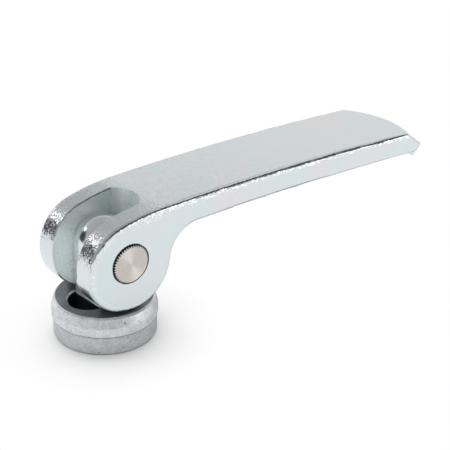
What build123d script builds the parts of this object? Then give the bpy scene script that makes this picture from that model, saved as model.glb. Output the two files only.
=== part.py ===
# Cam lever: a forged clevis lever with a cam on each cheek, the pin it turns on,
# the eye nut between the cheeks and the contact plate under the cams.
# Millimetres. Z is the thread axis, pointing up, with z = 0 on the clamping face of
# the contact plate. Y is along the pivot pin. X is along the closed lever, to its tip.
import os
from math import cos, radians, sin, sqrt, tan

from build123d import *

# ---- contact plate ----
plate_radius = 12.5
plate_height = 9.4
foot_band_inset = 0.3
foot_band_height = 4.6
plate_shoulder_rise = 2.1
plate_shoulder_inset = 0.6
plate_rim_chamfer = 0.4
plate_foot_chamfer = 0.3
plate_step_chamfer = 0.25
opening_end_clearance = 2.65
opening_edge_chamfer = 0.35

# ---- cam and cheeks ----
cam_radius = 11.0
cam_throw = 1.1
cam_throw_angle = -80.0
cam_gap = 0.1
hub_width = 21.5
slot_clearance = 0.35
slot_depth = 8.7
slot_end_sagitta = 2.5
slot_edge_chamfer = 0.3

# ---- lever blade ----
reach = 99.8
blade_thickness = 6.45
blade_crown_rise = 2.1
blade_crown_place = 45.0
blade_crown_radius = 947.0
blade_under_radius = 1300.0
crown_start = 9.0
tip_side_inset = 0.3
tip_plan_radius = 26.0
web_fillet = 8.0
edge_round = 0.8

# ---- end of the blade, measured from its outermost edge ----
tip_edge_rise = 2.1
tip_bevel_run = 5.2
tip_crest_round = 1.5
tip_crest_lead_angle = 12.0
tip_undercut_angle = 50.0
lip_width = 0.6
lip_height = 1.0
lip_lead_angle = 43.0
lip_side_inset = 0.5
tip_cutter_reach = 9.0

# ---- pivot pin ----
pin_radius = 4.65
pin_knurl_height = 0.32
pin_knurl_bite = 0.02
pin_knurl_teeth = 44
pin_knurl_length = 5.0
pin_proud = 0.5
pin_far_recess = 0.2
pin_end_chamfer = 0.65
pin_end_land_radius = 4.2
cheek_hole_clearance = 0.03
knurl_hole_oversize = 0.10
hole_mouth_oversize = 0.15
hole_mouth_depth = 1.0

# ---- eye nut ----
nut_radius = 6.7
nut_thickness = 9.8
nut_dome_rise = 1.04
nut_foot_recess = 0.6
nut_foot_chamfer = 0.5
eye_clearance = 0.05
opening_clearance = 0.15
thread_minor_radius = 3.38
thread_depth = 13.0
thread_mouth_radius = 4.2
drill_point_angle = 118.0

# ---- how far cutting shapes run past the metal ----
overrun = 2.0

# ---- places that follow ----
throw_x = cam_throw * cos(radians(cam_throw_angle))
throw_z = cam_throw * sin(radians(cam_throw_angle))
pivot_height = plate_height + cam_gap + cam_radius - throw_z
cam_x = throw_x
cam_z = pivot_height + throw_z
crown_top = cam_z + cam_radius + blade_crown_rise
hub_half = hub_width / 2
slot_half = nut_thickness / 2 + slot_clearance
knurl_hole_radius = pin_radius + knurl_hole_oversize
knurl_crest_radius = knurl_hole_radius + pin_knurl_bite
knurl_root_radius = knurl_crest_radius - pin_knurl_height
mouth_radius = knurl_hole_radius + hole_mouth_oversize
opening_width = nut_thickness + 2 * opening_clearance
opening_length = 2 * (nut_radius + opening_end_clearance)
tip_width = 2 * (plate_radius - tip_side_inset)
tip_axis_x = reach - tip_plan_radius
tip_corner_x = tip_axis_x + sqrt(tip_plan_radius**2 - (tip_width / 2) ** 2)
side_taper = (tip_width / 2 - hub_half) / tip_corner_x
outward = (-side_taper, -1, 0)
near_side = Plane(origin=(0, -hub_half, 0), x_dir=(1, -side_taper, 0), z_dir=outward)
slot_wall = Plane(origin=(0, -slot_half, 0), x_dir=(1, -side_taper, 0), z_dir=outward)


def arch_drop(x, radius):
    """Fall of an arch below its highest point at a place along the blade."""
    return radius - sqrt(radius**2 - (x - blade_crown_place) ** 2)


def crown_at(x):
    """Height of the blade's top at a place along the blade."""
    return crown_top - arch_drop(x, blade_crown_radius)


def underside_at(x):
    """Height of the blade's underside at a place along the blade."""
    return crown_top - blade_thickness - arch_drop(x, blade_under_radius)


tip_edge_z = underside_at(reach) + tip_edge_rise


def make_contact_plate():
    """Sintered ring with a recessed foot band and an obround opening for the nut."""
    foot_radius = plate_radius - foot_band_inset
    shoulder_z = plate_height - plate_rim_chamfer - plate_shoulder_rise
    rim_radius = plate_radius - plate_shoulder_inset
    with BuildPart() as plate:
        with BuildSketch(Plane.XZ):
            with BuildLine():
                Polyline(
                    (0, 0),
                    (foot_radius - plate_foot_chamfer, 0),
                    (foot_radius, plate_foot_chamfer),
                    (foot_radius, foot_band_height),
                    (plate_radius - plate_step_chamfer, foot_band_height),
                    (plate_radius, foot_band_height + plate_step_chamfer),
                    (plate_radius, shoulder_z),
                    (rim_radius, plate_height - plate_rim_chamfer),
                    (rim_radius - plate_rim_chamfer, plate_height),
                    (0, plate_height),
                    close=True,
                )
            make_face()
        revolve(axis=Axis.Z)
        with BuildSketch():
            SlotOverall(opening_length, opening_width)
        extrude(amount=plate_height, mode=Mode.SUBTRACT)
        mouth = plate.faces().sort_by(Axis.Z)[-1].inner_wires()[0].edges()
        chamfer(mouth, opening_edge_chamfer)
    return plate.part


def make_eye_nut():
    """Round bar with a domed head, two flats, the pin's eye and a blind thread."""
    with BuildPart() as nut:
        with BuildSketch(Plane.XZ):
            with BuildLine():
                dome_z = pivot_height + nut_dome_rise
                foot = Polyline(
                    (0, nut_foot_recess),
                    (nut_radius - nut_foot_chamfer, nut_foot_recess),
                    (nut_radius, nut_foot_recess + nut_foot_chamfer),
                    (nut_radius, dome_z),
                )
                CenterArc((0, dome_z), nut_radius, 0, 90)
                Line((0, dome_z + nut_radius), foot @ 0)
            make_face()
        revolve(axis=Axis.Z)
        full_height = pivot_height + nut_dome_rise + nut_radius
        with Locations((0, 0, full_height / 2)):
            Box(2 * nut_radius, nut_thickness, full_height, mode=Mode.INTERSECT)
        with Locations((0, 0, pivot_height)):
            Cylinder(
                pin_radius + eye_clearance,
                nut_thickness,
                rotation=(90, 0, 0),
                mode=Mode.SUBTRACT,
            )
        drill_point = thread_minor_radius / sin(radians(drill_point_angle / 2))
        drill_point = sqrt(drill_point**2 - thread_minor_radius**2)
        lead_in = thread_mouth_radius - thread_minor_radius
        with BuildSketch(Plane.XZ):
            with BuildLine():
                Polyline(
                    (0, nut_foot_recess),
                    (thread_mouth_radius, nut_foot_recess),
                    (thread_minor_radius, nut_foot_recess + lead_in),
                    (thread_minor_radius, nut_foot_recess + thread_depth),
                    (0, nut_foot_recess + thread_depth + drill_point),
                    close=True,
                )
            make_face()
        revolve(axis=Axis.Z, mode=Mode.SUBTRACT)
    return nut.part


def knurled_end(near_y, knurl_end_y):
    """Straight-knurled length of the pin, bevelled at both ends."""
    tooth = 360 / pin_knurl_teeth
    points = []
    for k in range(pin_knurl_teeth):
        crest = radians(k * tooth)
        root = radians((k + 0.5) * tooth)
        points.append((knurl_crest_radius * cos(crest), knurl_crest_radius * sin(crest)))
        points.append((knurl_root_radius * cos(root), knurl_root_radius * sin(root)))
    knurl_plane = Plane(origin=(0, near_y, pivot_height), z_dir=(0, 1, 0))
    teeth = extrude(knurl_plane * Polygon(*points, align=None), amount=knurl_end_y - near_y)

    bevel = knurl_crest_radius - pin_end_land_radius
    inner_bevel = knurl_crest_radius - knurl_root_radius
    section = Plane(origin=(0, 0, pivot_height), x_dir=(0, 1, 0), z_dir=(1, 0, 0)) * Polygon(
        (near_y, 0),
        (near_y, pin_end_land_radius),
        (near_y + bevel, knurl_crest_radius),
        (knurl_end_y - inner_bevel, knurl_crest_radius),
        (knurl_end_y, knurl_root_radius),
        (knurl_end_y, 0),
        align=None,
    )
    return teeth & revolve(section, axis=Axis((0, 0, pivot_height), (0, 1, 0)))


def make_pivot_pin():
    """Turned pin with a straight knurl where it grips the near cheek."""
    near_y = -hub_half - pin_proud
    far_y = hub_half - pin_far_recess
    knurl_end_y = -hub_half + pin_knurl_length
    shank_length = far_y - knurl_end_y
    shank_middle = Pos(0, (far_y + knurl_end_y) / 2, pivot_height)
    shank = shank_middle * Cylinder(pin_radius, shank_length, rotation=(90, 0, 0))
    shank = chamfer(shank.edges().group_by(Axis.Y)[-1], pin_end_chamfer)
    return shank + knurled_end(near_y, knurl_end_y)


def shoulder_foot():
    """Where an arc that leaves the crown smoothly touches the cam circle smoothly."""
    cam = Vector(cam_x, cam_z)
    start = Vector(crown_start, crown_at(crown_start))
    inward = Vector(blade_crown_place, crown_top - blade_crown_radius) - start
    inward = inward.normalized()
    gap = start - cam
    radius = (cam_radius**2 - gap.dot(gap)) / (2 * (inward.dot(gap) + cam_radius))
    centre = start + inward * radius
    return centre + (cam - centre).normalized() * radius


def blade_profile():
    """Side view of the lever: the cam circle, the arched blade and the web fillet."""
    crown_end = reach + overrun
    with BuildSketch() as profile:
        with BuildLine():
            crown = ThreePointArc(
                (crown_start, crown_at(crown_start)),
                (blade_crown_place, crown_at(blade_crown_place)),
                (crown_end, crown_at(crown_end)),
            )
            shoulder = TangentArc(crown @ 0, shoulder_foot(), tangent=-(crown % 0))
            under = ThreePointArc(
                (cam_x, underside_at(cam_x)),
                (blade_crown_place, underside_at(blade_crown_place)),
                (crown_end, underside_at(crown_end)),
            )
            Line(crown @ 1, under @ 1)
            Line(under @ 0, shoulder @ 1)
        make_face()
        with Locations((cam_x, cam_z)):
            Circle(cam_radius)
        under_top = underside_at(blade_crown_place)
        below = profile.vertices().filter_by(lambda v: v.Y < under_top)
        fillet(below.sort_by(Axis.X)[0], web_fillet)
    return profile.sketch


def near_half():
    """Room for the lever's near half: up to the middle plane and the end's arc."""
    back_x = cam_x - cam_radius - overrun
    with BuildSketch() as room:
        with BuildLine():
            end = CenterArc((tip_axis_x, 0), tip_plan_radius, -90, 90)
            Polyline(end @ 0, (back_x, -tip_plan_radius), (back_x, 0), end @ 1)
        make_face()
    return extrude(room.sketch, amount=2 * crown_top)


def turned_end(section_line):
    """Half ring about the blade's plan centre, from a closed radius and height line."""
    plane = Plane(origin=(tip_axis_x, 0, 0), x_dir=(0, -1, 0), z_dir=(-1, 0, 0))
    section = plane * make_face(section_line)
    turn = Axis((tip_axis_x, 0, 0), (0, 0, 1))
    return revolve(section, axis=turn, revolution_arc=180)


def tip_bevel():
    """Ring that bevels the blade's end from above and rolls over into the crown."""
    crest_z = crown_at(reach - tip_bevel_run)
    crest_radius = tip_plan_radius - tip_bevel_run
    lead_rise = tip_cutter_reach * tan(radians(tip_crest_lead_angle))
    outer_radius = tip_plan_radius + overrun
    with BuildLine() as section:
        roll = FilletPolyline(
            (tip_plan_radius, tip_edge_z),
            (crest_radius, crest_z),
            (crest_radius - tip_cutter_reach, crest_z + lead_rise),
            radius=tip_crest_round,
        )
        top_z = (roll @ 1).Y
        Polyline(roll @ 1, (outer_radius, top_z), (outer_radius, tip_edge_z), roll @ 0)
    return turned_end(section.edges())


def tip_undercut():
    """Ring that cuts the blade's end back below its outermost edge."""
    depth = tip_cutter_reach * tan(radians(tip_undercut_angle))
    outer_radius = tip_plan_radius + overrun
    with BuildLine() as section:
        Polyline(
            (tip_plan_radius, tip_edge_z),
            (tip_plan_radius - tip_cutter_reach, tip_edge_z - depth),
            (outer_radius, tip_edge_z - depth),
            (outer_radius, tip_edge_z),
            close=True,
        )
    return turned_end(section.edges())


def tip_lip():
    """Low finger lip along the underside of the blade's end."""
    foot_z = underside_at(reach - tip_bevel_run) - lip_height
    rise = lip_height + edge_round / 2
    edge_drop = tip_edge_z - foot_z
    foot_radius = tip_plan_radius - edge_drop / tan(radians(tip_undercut_angle))
    inner_radius = foot_radius - lip_width
    with BuildLine() as section:
        Polyline(
            (foot_radius, foot_z),
            (foot_radius + rise / tan(radians(tip_undercut_angle)), foot_z + rise),
            (inner_radius - rise / tan(radians(lip_lead_angle)), foot_z + rise),
            (inner_radius, foot_z),
            close=True,
        )
    inset_side = near_side.offset(-lip_side_inset) * Rectangle(4 * reach, 4 * reach)
    return turned_end(section.edges()) & extrude(inset_side, amount=-tip_width)


def slot_cutter():
    """Clevis slot between the cheeks, open at the back and closed by an arched wall."""
    back_x = cam_x - cam_radius - overrun
    corner_x = slot_depth - slot_end_sagitta
    back_half = slot_half + side_taper * back_x
    corner_half = slot_half + side_taper * corner_x
    with BuildSketch(Plane.XY) as slot:
        with BuildLine():
            Polyline(
                (corner_x, corner_half),
                (back_x, back_half),
                (back_x, -back_half),
                (corner_x, -corner_half),
            )
            ThreePointArc(
                (corner_x, -corner_half), (slot_depth, 0), (corner_x, corner_half)
            )
        make_face()
    return extrude(slot.sketch, amount=2 * pivot_height)


def lies_on(plane, edge):
    """True for an edge whose middle lies on a plane."""
    return abs(plane.to_local_coords(edge @ 0.5).Z) < 0.01


def is_upright(edge):
    """True for an edge that runs straight up."""
    return edge.geom_type == GeomType.LINE and abs((edge % 0.5).Z) > 0.99


def make_lever_half():
    """Near half of the forging, which tapers a little from the tip to the nose."""
    half = extrude(near_side * blade_profile(), amount=-tip_width) & near_half()
    half = half - tip_bevel() - tip_undercut() - slot_cutter()
    slot_edges = half.edges().filter_by(
        lambda e: lies_on(slot_wall, e)
        and not is_upright(e)
        and (e @ 0.5).X < slot_depth - slot_end_sagitta
    )
    half = chamfer(slot_edges, slot_edge_chamfer)
    outer = half.edges().filter_by(lambda e: lies_on(near_side, e) and not is_upright(e))
    half = fillet(outer, edge_round)
    return half + (tip_lip() & near_half())


def make_lever():
    """Forged lever: two mirrored halves and the holes for the pin."""
    half = make_lever_half()
    lever = half + mirror(half, about=Plane.XZ)

    pin_place = Pos(0, 0, pivot_height)
    far_hole = Cylinder(pin_radius + cheek_hole_clearance, hub_width, rotation=(90, 0, 0))
    lever -= pin_place * Pos(0, hub_half, 0) * far_hole
    near_hole = Cylinder(knurl_hole_radius, hub_width, rotation=(90, 0, 0))
    lever -= pin_place * Pos(0, -hub_half, 0) * near_hole
    mouth = Cylinder(mouth_radius, 2 * hole_mouth_depth, rotation=(90, 0, 0))
    lever -= pin_place * Pos(0, -hub_half, 0) * mouth
    return lever


if __name__ == "__main__":
    os.makedirs("parts", exist_ok=True)
    export_step(make_contact_plate(), "parts/contact_plate.step")
    export_step(make_eye_nut(), "parts/eye_nut.step")
    export_step(make_pivot_pin(), "parts/pivot_pin.step")
    export_step(make_lever(), "parts/lever.step")
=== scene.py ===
from math import cos, pi, radians, sin

import bpy
from mathutils import Matrix, Vector

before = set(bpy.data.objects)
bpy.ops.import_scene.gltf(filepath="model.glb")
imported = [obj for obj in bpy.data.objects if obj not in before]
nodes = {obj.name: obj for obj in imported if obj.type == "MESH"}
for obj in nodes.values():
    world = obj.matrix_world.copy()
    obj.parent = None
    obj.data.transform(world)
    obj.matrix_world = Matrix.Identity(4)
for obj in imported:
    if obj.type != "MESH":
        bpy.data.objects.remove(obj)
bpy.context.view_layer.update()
print("frame loaded")


class Wire:
    # a shader socket: sums, products and powers of it add Math nodes
    def __init__(self, recipe, socket):
        self.recipe = recipe
        self.socket = socket

    def other(self, place):
        # another output of the same node
        return Wire(self.recipe, self.socket.node.outputs[place])

    def maths(self, operation, *others, clamp=False, swap=False):
        values = (*others, self) if swap else (self, *others)
        settings = {"operation": operation, "use_clamp": clamp}
        return self.recipe.add("ShaderNodeMath", settings, *values)

    def __add__(self, other):
        return self.maths("ADD", other)

    __radd__ = __add__

    def __sub__(self, other):
        return self.maths("SUBTRACT", other)

    def __rsub__(self, other):
        return self.maths("SUBTRACT", other, swap=True)

    def __mul__(self, other):
        return self.maths("MULTIPLY", other)

    __rmul__ = __mul__

    def __truediv__(self, other):
        return self.maths("DIVIDE", other)

    def __rtruediv__(self, other):
        return self.maths("DIVIDE", other, swap=True)

    def __pow__(self, other):
        return self.maths("POWER", other)

    def __abs__(self):
        return self.maths("ABSOLUTE")

    def kept(self):
        # held between 0 and 1
        return self.maths("ADD", 0.0, clamp=True)

    def steps(self, start, end):
        # 0 before start, 1 after end, and a straight run between
        return ((self - start) / (end - start)).kept()


class Recipe:
    # a node tree; add() makes any node from its type, settings and inputs
    def __init__(self, tree):
        self.tree = tree
        tree.nodes.clear()

    def add(self, kind, settings, *inputs, out=0, **named):
        node = self.tree.nodes.new(kind)
        for key, value in settings.items():
            if key == "stops":
                fillRamp(node.color_ramp, value)
            else:
                setattr(node, key, value)
        for place, value in list(enumerate(inputs)) + list(named.items()):
            if isinstance(place, str):
                place = place.replace("_", " ")
            if isinstance(value, Wire):
                self.tree.links.new(value.socket, node.inputs[place])
            elif value is not None:
                node.inputs[place].default_value = value
        # an output node has nothing to hand on
        return Wire(self, node.outputs[out]) if node.outputs else None

    def vector(self, operation, *inputs, out=0, **named):
        return self.add("ShaderNodeVectorMath", {"operation": operation}, *inputs, out=out, **named)

    def split(self, vector):
        # the three numbers of a vector
        first = self.add("ShaderNodeSeparateXYZ", {}, vector)
        return [first.other(place) for place in range(3)]

    def along(self, vector, heading):
        # how far a vector reaches along a heading
        return self.vector("DOT_PRODUCT", vector, heading, out="Value")

    def blend(self, share, first, second, how="MIX"):
        # two colours mixed by a share from 0 to 1; the node's inputs 1 to 5 aren't for colours
        settings = {"data_type": "RGBA", "blend_type": how}
        colours = [shade if isinstance(shade, Wire) else (*shade, 1) for shade in (first, second)]
        return self.add("ShaderNodeMix", settings, share, *[None] * 5, *colours, out=2)

    def place(self):
        return self.add("ShaderNodeTexCoord", {}, out="Object")

    def normal(self):
        return self.add("ShaderNodeTexCoord", {}, out="Normal")

    def noise(self, where, scale, detail=2.0, roughness=0.5):
        values = {"Scale": scale, "Detail": detail, "Roughness": roughness}
        return self.add("ShaderNodeTexNoise", {}, Vector=where, **values)

    def speckled(self, colour, shade):
        # a colour darkened or lightened by a single number
        grey = self.add("ShaderNodeCombineColor", {}, shade, shade, shade)
        return self.blend(1.0, colour, grey, "MULTIPLY")

    def uneven(self, where, scale, amount, lean):
        # the surface direction tipped at random in small grains, and leaned upwards
        tone = self.noise(where, scale).other("Color")
        tip = self.vector("SUBTRACT", tone, (0.5, 0.5, 0.5))
        tip = self.vector("SCALE", tip, Scale=amount)
        tip = self.vector("ADD", tip, self.add("ShaderNodeCombineXYZ", {}, Z=lean))
        turned = {"vector_type": "VECTOR", "convert_from": "OBJECT", "convert_to": "WORLD"}
        tip = self.add("ShaderNodeVectorTransform", turned, tip)
        flat = self.add("ShaderNodeNewGeometry", {}, out="Normal")
        return self.vector("NORMALIZE", self.vector("ADD", flat, tip))

    def bump(self, height, strength, distance):
        values = {"Strength": strength, "Distance": distance, "Height": height}
        return self.add("ShaderNodeBump", {}, **values)

    def metal(self, colour, metallic, roughness, normal):
        values = {"Base_Color": colour, "Metallic": metallic, "Roughness": roughness}
        self.close(self.add("ShaderNodeBsdfPrincipled", {}, Normal=normal, **values))

    def close(self, surface, output="ShaderNodeOutputMaterial"):
        self.add(output, {}, surface)


def fillRamp(ramp, stops):
    while len(ramp.elements) < len(stops):
        ramp.elements.new(1.0)
    for element, (place, shade) in zip(ramp.elements, stops):
        element.position = place
        element.color = (shade, shade, shade, 1)


def newMaterial(name):
    material = bpy.data.materials.new(name)
    material.use_nodes = True
    return material, Recipe(material.node_tree)


camera = {
    "place": (-0.112467, -0.170175, 0.127103),
    "right": (0.761521, -0.647405, 0.030858),
    "up": (0.264117, 0.353445, 0.897396),
    "lens": 79.75,
    "nearest": 0.01,
    "farthest": 20,
}


def makeCamera():
    data = bpy.data.cameras.new("camera")
    data.lens = camera["lens"]
    data.clip_start = camera["nearest"]
    data.clip_end = camera["farthest"]
    item = bpy.data.objects.new("camera", data)
    right = Vector(camera["right"]).normalized()
    back = right.cross(Vector(camera["up"])).normalized()
    up = back.cross(right)
    turn = Matrix((right, up, back)).transposed()
    item.matrix_world = Matrix.Translation(camera["place"]) @ turn.to_4x4()
    bpy.context.scene.collection.objects.link(item)
    bpy.context.scene.camera = item


makeCamera()
print("camera placed")

ground = {
    "colour": (0.90, 0.90, 0.905, 1),
    # just under the part's foot, so that the two faces don't meet
    "drop": 5e-5,
    # the hole under the part and the outer edge
    "radii": (0.0115, 8.0),
    "sides": 64,
    "shadowReach": 0.016,
    "shadowDepth": 1.5,
    # the shadow deepens towards this side, from the part's middle to this distance
    "shadowSide": (-0.55, -0.83, 0),
    "shadowRun": 0.013,
    "shadowLeast": 0.75,
    "shadowGain": 0.95,
}


def makeFloor():
    # a wide disc with a hole under the part, so that light reaches the underside
    count = ground["sides"]
    turns = [2 * pi * index / count for index in range(count)]
    corners = [
        (radius * cos(turn), radius * sin(turn), -ground["drop"])
        for radius in ground["radii"]
        for turn in turns
    ]
    nexts = [(index, (index + 1) % count) for index in range(count)]
    faces = [(index, count + index, count + after, after) for index, after in nexts]
    mesh = bpy.data.meshes.new("floor")
    mesh.from_pydata(corners, [], faces)
    floor = bpy.data.objects.new("floor", mesh)
    bpy.context.scene.collection.objects.link(floor)
    mesh.materials.append(paleFloor())


def paleFloor():
    material, recipe = newMaterial("paleFloor")
    matte = recipe.add("ShaderNodeBsdfDiffuse", {}, Color=ground["colour"])
    glow = recipe.add("ShaderNodeEmission", {}, Color=(1, 1, 1, 1), Strength=1.0)
    # seen directly the floor is white, with its shading kept close to the part
    reach = {"Distance": ground["shadowReach"]}
    openness = recipe.add("ShaderNodeAmbientOcclusion", {"samples": 16}, out="AO", **reach)
    side = recipe.along(recipe.place(), ground["shadowSide"]).steps(0.0, ground["shadowRun"])
    depth = (1 - openness) * ground["shadowDepth"]
    covered = (depth * (ground["shadowLeast"] + side * ground["shadowGain"])).kept()
    seen = recipe.add("ShaderNodeLightPath", {}, out="Is Camera Ray")
    whole = recipe.add("ShaderNodeMixShader", {}, seen * (1 - covered), matte, glow)
    # clear from below, so that the underside can be looked at
    below = recipe.add("ShaderNodeNewGeometry", {}, out="Backfacing")
    clear = recipe.add("ShaderNodeBsdfTransparent", {}, Color=(1, 1, 1, 1))
    recipe.close(recipe.add("ShaderNodeMixShader", {}, below, whole, clear))
    return material


studio = {
    # light of the room against the sine of the height, behind and in front
    "behind": [(0.0, 0.78), (0.45, 0.80), (0.53, 0.46), (0.84, 0.42), (1.0, 0.36)],
    "front": [(0.0, 0.10), (0.78, 0.07), (0.92, 0.3), (1.0, 0.36)],
    "behindAzimuth": 20,
    "behindRun": (-0.12, 0.22),
    # only this side of the front is dark
    "darkAzimuth": 128,
    "darkRun": (0.1, 0.4),
    "aside": 0.34,
    "asideRun": (-0.05, 0.05),
    "underneath": 0.55,
    "underneathRun": (-0.12, -0.02),
    "aim": (0.03, 0, 0.02),
    "lampDistance": 3.0,
}
# azimuth from +Y towards +X, height, full and soft radius, brightness
cards = {
    "darkLeft": (-46, 14, 12, 22, 0.05),
    "lightRight": (86, 50, 10, 24, 0.75),
}
# azimuth from +Y towards +X, height, width, depth, brightness, mirrored
lamps = {
    "rearLeft": (-31, 29, 0.5, 0.35, 2.6, True),
    "overhead": (0, 84, 3.2, 3.2, 2.1, False),
    "lowStrip": (138, 4, 2.0, 0.8, 2.2, True),
    "leftFill": (-112, 24, 1.6, 1.2, 1.6, False),
}


def heading(azimuth, height):
    flat = cos(radians(height))
    return (sin(radians(azimuth)) * flat, cos(radians(azimuth)) * flat, sin(radians(height)))


def makeWorld():
    world = bpy.data.worlds.new("studio")
    bpy.context.scene.world = world
    world.use_nodes = True
    recipe = Recipe(world.node_tree)
    direction = recipe.add("ShaderNodeTexCoord", {}, out="Generated")
    height = recipe.split(direction)[2]
    behind = recipe.add("ShaderNodeValToRGB", {"stops": studio["behind"]}, height)
    front = recipe.add("ShaderNodeValToRGB", {"stops": studio["front"]}, height)
    towardsDark = recipe.along(direction, heading(studio["darkAzimuth"], 0))
    aside = (1 - towardsDark.steps(*studio["darkRun"])) * height.steps(*studio["asideRun"])
    front = recipe.blend(aside, front, (studio["aside"],) * 3)
    towardsBack = recipe.along(direction, heading(studio["behindAzimuth"], 0))
    light = recipe.blend(towardsBack.steps(*studio["behindRun"]), front, behind)
    for azimuth, up, full, soft, shade in cards.values():
        towardsCard = recipe.along(direction, heading(azimuth, up))
        cover = towardsCard.steps(cos(radians(soft)), cos(radians(full)))
        light = recipe.blend(cover, light, (shade,) * 3)
    above = height.steps(*studio["underneathRun"])
    light = recipe.blend(above, (studio["underneath"],) * 3, light)
    room = recipe.add("ShaderNodeBackground", {}, Color=light)
    white = recipe.add("ShaderNodeBackground", {}, Color=(1, 1, 1, 1))
    seen = recipe.add("ShaderNodeLightPath", {}, out="Is Camera Ray")
    mixed = recipe.add("ShaderNodeMixShader", {}, seen, room, white)
    recipe.close(mixed, "ShaderNodeOutputWorld")


def makeLamps():
    for name, (azimuth, height, width, depth, brightness, mirrored) in lamps.items():
        away = Vector(heading(azimuth, height))
        data = bpy.data.lights.new(name, "AREA")
        data.shape = "RECTANGLE"
        data.size, data.size_y = width, depth
        data.energy = brightness * pi * width * depth
        lamp = bpy.data.objects.new(name, data)
        lamp.location = Vector(studio["aim"]) + away * studio["lampDistance"]
        lamp.rotation_euler = away.to_track_quat("Z", "Y").to_euler()
        lamp.visible_camera = False
        lamp.visible_glossy = mirrored
        bpy.context.scene.collection.objects.link(lamp)


makeFloor()
makeWorld()
makeLamps()
print("studio lit")

plated = {
    "cool": (0.77, 0.86, 0.88),
    "warm": (0.84, 0.835, 0.85),
    "inside": (0.90, 0.985, 0.99),
    # the colour of the painted highlight along the edges
    "bright": (0.98, 0.99, 0.99),
    # scale, detail and roughness of each noise
    "tint": (60, 3),
    "grain": (2200, 3, 0.6),
    "mottle": (2200 / 3.5, 3, 0.6),
    "tintRun": (0.36, 0.64),
    "grainShade": 0.14,
    "mottleShade": 0.08,
    "leastShade": 0.89,
    "roughness": 0.2,
    "roughnessSpread": 0.2,
    "milledRoughness": 0.1,
    "milledMatte": 0.7,
    # outline of the blade's top and of the hub, for the depth below the skin
    "crownTop": 0.0336,
    "crownPlace": 0.045,
    "crownRadius": 0.947,
    "hubCentre": (0.00019, 0.0205),
    "hubRadius": 0.011,
    "hubRun": (0.002, 0.009),
    "halfWidth": 0.01075,
    "widening": 0.0145,
    # how deep below the outline and how far in from the sides an edge reaches
    "edgeDepth": (1.3e-3, 1.9e-3),
    "edgeInward": (1.0e-3, 1.7e-3),
    "noseRun": (0.0, 0.012),
    # the slot's walls, told from the faces round them by place and by facing
    "slotHalfRun": (0.0057, 0.0058),
    "slotEndRun": (0.0095, 0.0097),
    "slotFacing": (0.88, 0.95),
    "endWallRun": (0.0055, 0.006),
    "endWallFacing": (0.3, 0.5),
    # painted shade: the slot's walls darken towards the slot's closed end
    "paintedSlotShadeRun": (-0.002, 0.007),
    "paintedSlotShadeFacing": (0.5, 0.7),
    "paintedSlotShadeDepth": 0.25,
    # painted highlight: a glinting band lightened into the colour, with the surface leaned upwards
    # there, from this height up and only on the sides
    "glintHeight": (0.010, 0.018),
    "glintFacing": (0.93, 0.99),
    "glintGrain": 0.8,
    "glintRun": (0.5, 0.6),
    "glintLean": 0.32,
    "noseLean": 0.14,
    # painted shade on the edges that face downwards
    "paintedUnderShadeRun": (0.2, 0.5),
    "paintedUnderShadeDepth": 0.4,
    # where the nose turns down, and how uneven each place is
    "turningForward": (0.3, 0.6),
    "turningUp": (0.0, 0.3),
    "turningGrain": 0.42,
    "noseGrain": 0.12,
    "edgeGrain": 0.25,
    "leastGrain": 0.1,
}


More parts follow.
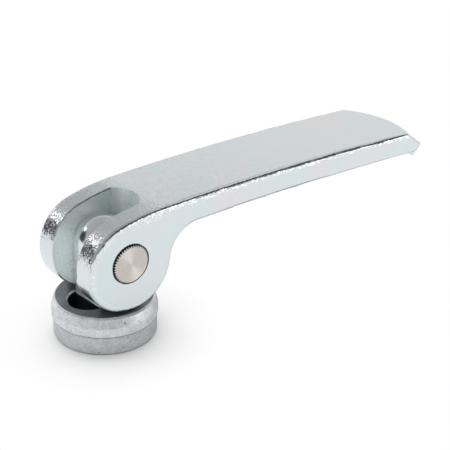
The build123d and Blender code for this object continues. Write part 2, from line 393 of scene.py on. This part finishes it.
def platedForging():
    # zinc over a blasted forging: fine grain, faint blue and rose tints,
    # a painted highlight glinting along the edges, and smooth where the slot was milled
    material, recipe = newMaterial("platedForging")
    where = recipe.place()
    x, y, z = recipe.split(where)
    facing = recipe.split(recipe.normal())
    facingSide, facingUp = abs(facing[1]), abs(facing[2])

    top = plated["crownTop"] - (x - plated["crownPlace"]) ** 2 / (2 * plated["crownRadius"])
    hubX, hubZ = plated["hubCentre"]
    fromHub = ((x - hubX) * (x - hubX) + (z - hubZ) * (z - hubZ)) ** 0.5
    onBlade = x.steps(*plated["hubRun"])
    depth = (plated["hubRadius"] - fromHub) * (1 - onBlade) + (top - z) * onBlade
    inward = plated["halfWidth"] + x * plated["widening"] - abs(y)
    edge = (1 - depth.steps(*plated["edgeDepth"])) * (1 - inward.steps(*plated["edgeInward"]))
    nose = 1 - x.steps(*plated["noseRun"])

    endWall = x.steps(*plated["endWallRun"]) - facingUp.steps(*plated["endWallFacing"])
    slotWall = facingSide.steps(*plated["slotFacing"]).maths("MAXIMUM", endWall)
    between = 1 - abs(y).steps(*plated["slotHalfRun"])
    milled = between * (1 - x.steps(*plated["slotEndRun"])) * slotWall

    grain = recipe.noise(where, *plated["grain"])
    mottle = recipe.noise(where, *plated["mottle"])
    tint = recipe.noise(where, *plated["tint"]).steps(*plated["tintRun"])
    patches = grain * plated["glintGrain"] + mottle * (1 - plated["glintGrain"])
    glint = (
        edge
        * z.steps(*plated["glintHeight"])
        * facingSide.steps(*plated["glintFacing"])
        * patches.steps(*plated["glintRun"])
    )
    # painted shade: the edges that face downwards are darkened
    downward = (0 - facing[2]).steps(*plated["paintedUnderShadeRun"])
    paintedUnderShade = downward * facingSide.steps(*plated["paintedUnderShadeRun"])
    # painted shade: the milled walls are darkened towards the slot's closed end
    paintedSlotShade = x.steps(*plated["paintedSlotShadeRun"]) * facingSide.steps(*plated["paintedSlotShadeFacing"])

    colour = recipe.blend(tint, plated["cool"], plated["warm"])
    # painted highlight: the glint band is lightened in the colour
    colour = recipe.blend(glint, colour, plated["bright"])
    inside = recipe.speckled(plated["inside"], 1 - paintedSlotShade * plated["paintedSlotShadeDepth"])
    colour = recipe.blend(milled, colour, inside)
    shade = grain * plated["grainShade"] + mottle * plated["mottleShade"] + plated["leastShade"]
    colour = recipe.speckled(colour, shade.kept() - paintedUnderShade * plated["paintedUnderShadeDepth"])
    roughness = (
        plated["roughness"]
        + (mottle - 0.5) * plated["roughnessSpread"]
        + milled * plated["milledRoughness"]
    )

    forward = (0 - facing[0]).steps(*plated["turningForward"])
    turning = forward * facing[2].steps(*plated["turningUp"])
    wrought = (
        turning * plated["turningGrain"]
        + nose * plated["noseGrain"]
        + edge * plated["edgeGrain"]
        + plated["leastGrain"]
    ) * (1 - milled)
    lean = glint * (plated["glintLean"] - nose * plated["noseLean"])
    relief = recipe.uneven(where, plated["grain"][0], wrought, lean)
    recipe.metal(colour, 1 - milled * plated["milledMatte"], roughness, relief)
    return material


pin = {
    "face": (0.66, 0.62, 0.56),
    "paintedFan": (0.88, 0.82, 0.77),
    "teeth": (0.86, 0.86, 0.85),
    # painted shadow: the black between the pin and its hole
    "gap": (0.015, 0.015, 0.017),
    "axisHeight": 0.021583,
    "faceRadius": 0.00420,
    "faceSoft": 5e-5,
    "coneMatte": 0.6,
    "teethCount": 44,
    "teethRun": (4.2e-3, 4.26e-3),
    "shadowWedgeRun": (0.00422, 0.00456),
    "shadowWedgeSoft": (-0.1, 0.1),
    # only beyond this distance from the middle plane
    "endRun": (0.0102, 0.0104),
    "paintedFanTurn": 1.95,
    "paintedFanShare": 0.9,
    # scale and detail of each noise
    "rings": (4200, 3),
    "grain": (2500, 2),
    "ringShare": 0.5,
    "ringShade": 0.2,
    "grainShade": 0.1,
    "leastShade": 0.85,
    "roughness": 0.3,
    "roughnessSpread": 0.2,
    "relief": (0.4, 2e-5),
}


def turnedPin():
    # stainless steel: rings of a facing cut about the pin's own axis, and
    # a painted highlight of the two fans of light that such rings throw; painted shadow, black,
    # between the teeth
    material, recipe = newMaterial("turnedPin")
    where = recipe.place()
    x, y, z = recipe.split(where)
    height = z - pin["axisHeight"]
    radius = (x * x + height * height) ** 0.5
    turn = height.maths("ARCTAN2", x)
    # painted highlight: two fans of light across the face, lightening the colour by the turn about
    # the axis
    paintedFan = (((turn - pin["paintedFanTurn"]) * 2).maths("COSINE") * 0.5 + 0.5) ** 4
    scale, detail = pin["rings"]
    oneWay = {"noise_dimensions": "1D"}
    rings = recipe.add("ShaderNodeTexNoise", oneWay, W=radius, Scale=scale, Detail=detail)
    grain = recipe.noise(where, *pin["grain"])
    cone = radius.steps(pin["faceRadius"] - pin["faceSoft"], pin["faceRadius"])
    lit = paintedFan * pin["paintedFanShare"] + (rings - 0.5) * pin["ringShare"]
    colour = recipe.blend(lit.kept(), pin["face"], pin["paintedFan"])
    colour = recipe.blend(radius.steps(*pin["teethRun"]), colour, pin["teeth"])
    # painted shadow: dark wedges in the grooves widen outwards until only black is left between the
    # pin and its hole
    fromGroove = abs((turn * (pin["teethCount"] / (2 * pi))).maths("FRACT") - 0.5) * 2
    shadowWedge = (radius.steps(*pin["shadowWedgeRun"]) - fromGroove).steps(*pin["shadowWedgeSoft"])
    colour = recipe.blend(shadowWedge * abs(y).steps(*pin["endRun"]), colour, pin["gap"])
    shade = rings * pin["ringShade"] + grain * pin["grainShade"] + pin["leastShade"]
    colour = recipe.speckled(colour, shade.kept())
    roughness = pin["roughness"] + (rings - 0.5) * pin["roughnessSpread"]
    relief = recipe.bump(rings, *pin["relief"])
    recipe.metal(colour, 1 - cone * pin["coneMatte"], roughness, relief)
    return material


nut = {
    "colour": (0.82, 0.86, 0.87),
    # scale and detail of each noise
    "grain": (700, 3),
    "cloud": (160, 2),
    "grainStretch": (1, 1, 6),
    "grainShade": 0.08,
    "cloudShade": 0.08,
    "leastShade": 0.92,
    "roughness": 0.13,
    "roughnessSpread": 0.1,
    "relief": (0.1, 3e-5),
}


def platedNut():
    # smooth turned bar under bright zinc
    material, recipe = newMaterial("platedNut")
    where = recipe.place()
    stretched = recipe.vector("MULTIPLY", where, nut["grainStretch"])
    grain = recipe.noise(stretched, *nut["grain"])
    cloud = recipe.noise(where, *nut["cloud"])
    shade = grain * nut["grainShade"] + cloud * nut["cloudShade"] + nut["leastShade"]
    colour = recipe.speckled(nut["colour"], shade.kept())
    roughness = nut["roughness"] + (cloud - 0.5) * nut["roughnessSpread"]
    recipe.metal(colour, 1.0, roughness, recipe.bump(grain, *nut["relief"]))
    return material


ring = {
    "light": (0.94, 0.96, 0.98),
    "dark": (0.64, 0.66, 0.68),
    "pit": (0.25, 0.26, 0.27),
    # painted shade: the nearly black colour of the opening's walls
    "inside": (0.06, 0.07, 0.08),
    # scale, detail and roughness of each noise
    "mottle": (420, 4, 0.65),
    "grain": (2200, 3, 0.7),
    "pores": (900, 2, 0.5),
    "mottleShare": 1.8,
    "grainShare": 2.4,
    "poreRun": (0.68, 0.74),
    "poreShare": 0.7,
    # the walls within this radius are the slot's
    "openingRun": (0.0105, 0.0107),
    "wallFacing": (0.2, 0.6),
    "bandHeight": 0.0046,
    "bandSoft": 1e-4,
    "bandShade": 0.20,
    "stepShadowReach": 5e-4,
    "stepShadowDepth": 0.35,
    "paintedTopFacing": (0.85, 0.97),
    "paintedTopShade": 0.7,
    "metallic": 0.8,
    "roughness": 0.42,
    "roughnessSpread": 0.3,
    "grainRelief": 0.7,
    "relief": (0.5, 6e-5),
}


def sinteredRing():
    # pressed and sintered steel: mottled, with small open pores; the foot
    # band is darker, and painted shade darkens the corner under the step
    material, recipe = newMaterial("sinteredRing")
    where = recipe.place()
    x, y, z = recipe.split(where)
    facingUp = recipe.split(recipe.normal())[2]
    mottle = recipe.noise(where, *ring["mottle"])
    grain = recipe.noise(where, *ring["grain"])
    pores = recipe.noise(where, *ring["pores"]).steps(*ring["poreRun"])
    share = (mottle - 0.5) * ring["mottleShare"] + (grain - 0.5) * ring["grainShare"] + 0.5
    colour = recipe.blend(share.kept(), ring["dark"], ring["light"])
    colour = recipe.blend(pores * ring["poreShare"], colour, ring["pit"])

    fromStep = z - ring["bandHeight"]
    band = 1 - fromStep.steps(-ring["bandSoft"], ring["bandSoft"])
    # painted shade: a dark line in the corner under the step
    corner = band * (1 - abs(fromStep).steps(ring["bandSoft"], ring["stepShadowReach"]))
    shade = (
        1
        - band * ring["bandShade"]
        - corner * ring["stepShadowDepth"]
        # painted shade: faces that look upwards are darkened
        - facingUp.steps(*ring["paintedTopFacing"]) * ring["paintedTopShade"]
    )
    colour = recipe.speckled(colour, shade)
    # painted shade: the walls of the opening are made nearly black
    walls = 1 - abs(facingUp).steps(*ring["wallFacing"])
    outside = ((x * x + y * y) ** 0.5).steps(*ring["openingRun"])
    colour = recipe.blend(walls * (1 - outside), colour, ring["inside"])
    roughness = ring["roughness"] + (grain - 0.5) * ring["roughnessSpread"]
    relief = recipe.bump(mottle + grain * ring["grainRelief"] - pores, *ring["relief"])
    recipe.metal(colour, ring["metallic"], roughness, relief)
    return material


finishes = {
    "lever": platedForging(),
    "pivot_pin": turnedPin(),
    "eye_nut": platedNut(),
    "contact_plate": sinteredRing(),
}
for name, material in finishes.items():
    slots = nodes[name].data.materials
    for index in range(len(slots)):
        slots[index] = material
print("finishes made")

bpy.context.scene.view_settings.view_transform = "Standard"
